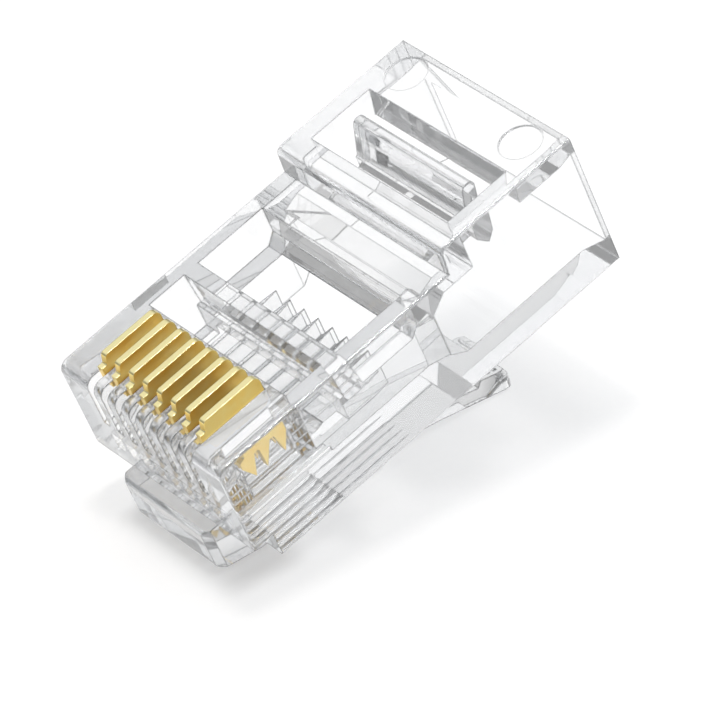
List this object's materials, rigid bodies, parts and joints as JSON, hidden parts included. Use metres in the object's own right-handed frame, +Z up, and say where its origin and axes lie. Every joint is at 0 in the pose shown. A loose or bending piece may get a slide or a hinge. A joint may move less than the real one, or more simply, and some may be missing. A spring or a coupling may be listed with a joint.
{
  "type": "modular plug",
  "caption": "Clear eight-position modular plug, not yet crimped, with gold contact blades, a springy latch and a jacket bar, resting nose down on its latch.",
  "frame": {"origin": "centre of the bounding box's base, on the surface the plug rests on", "axes": "+X across the plug, +Y from nose to cable end along the surface, +Z up; the body leans nose down by 16.4 degrees about X, as it comes to rest on its latch"},
  "size_m": [0.0116, 0.0222, 0.0146],
  "materials": {
    "clear_plastic": "polished",
    "gold_contact": "polished"
  },
  "bodies": {
    "body": {"housing": "clear_plastic"},
    "latch": {"latch_tab": "clear_plastic"},
    "jacket_bar": {"strain_relief_bar": "clear_plastic"},
    "blade_1": {"contact_1": "gold_contact"},
    "blade_2": {"contact_2": "gold_contact"},
    "blade_3": {"contact_3": "gold_contact"},
    "blade_4": {"contact_4": "gold_contact"},
    "blade_5": {"contact_5": "gold_contact"},
    "blade_6": {"contact_6": "gold_contact"},
    "blade_7": {"contact_7": "gold_contact"},
    "blade_8": {"contact_8": "gold_contact"}
  },
  "joints": [
    {"name": "latch_press", "type": "hinge", "parent": "body", "child": "latch", "pos_m": [0, -0.00893, 0.00267], "axis": [1, 0, 0], "range_deg": [0, 15.5], "stiffness_Nm_per_rad": 0.5},
    {"name": "bar_press", "type": "hinge", "parent": "body", "child": "jacket_bar", "pos_m": [0, 0.00351, 0.01039], "axis": [-1, 0, 0], "range_deg": [0, 24]},
    {"name": "contact_1_crimp", "type": "slide", "parent": "body", "child": "blade_1", "axis": [0, 0.282, -0.9594], "range_m": [0, 0.00111]},
    {"name": "contact_2_crimp", "type": "slide", "parent": "body", "child": "blade_2", "axis": [0, 0.282, -0.9594], "range_m": [0, 0.00111]},
    {"name": "contact_3_crimp", "type": "slide", "parent": "body", "child": "blade_3", "axis": [0, 0.282, -0.9594], "range_m": [0, 0.00111]},
    {"name": "contact_4_crimp", "type": "slide", "parent": "body", "child": "blade_4", "axis": [0, 0.282, -0.9594], "range_m": [0, 0.00111]},
    {"name": "contact_5_crimp", "type": "slide", "parent": "body", "child": "blade_5", "axis": [0, 0.282, -0.9594], "range_m": [0, 0.00111]},
    {"name": "contact_6_crimp", "type": "slide", "parent": "body", "child": "blade_6", "axis": [0, 0.282, -0.9594], "range_m": [0, 0.00111]},
    {"name": "contact_7_crimp", "type": "slide", "parent": "body", "child": "blade_7", "axis": [0, 0.282, -0.9594], "range_m": [0, 0.00111]},
    {"name": "contact_8_crimp", "type": "slide", "parent": "body", "child": "blade_8", "axis": [0, 0.282, -0.9594], "range_m": [0, 0.00111]}
  ]
}
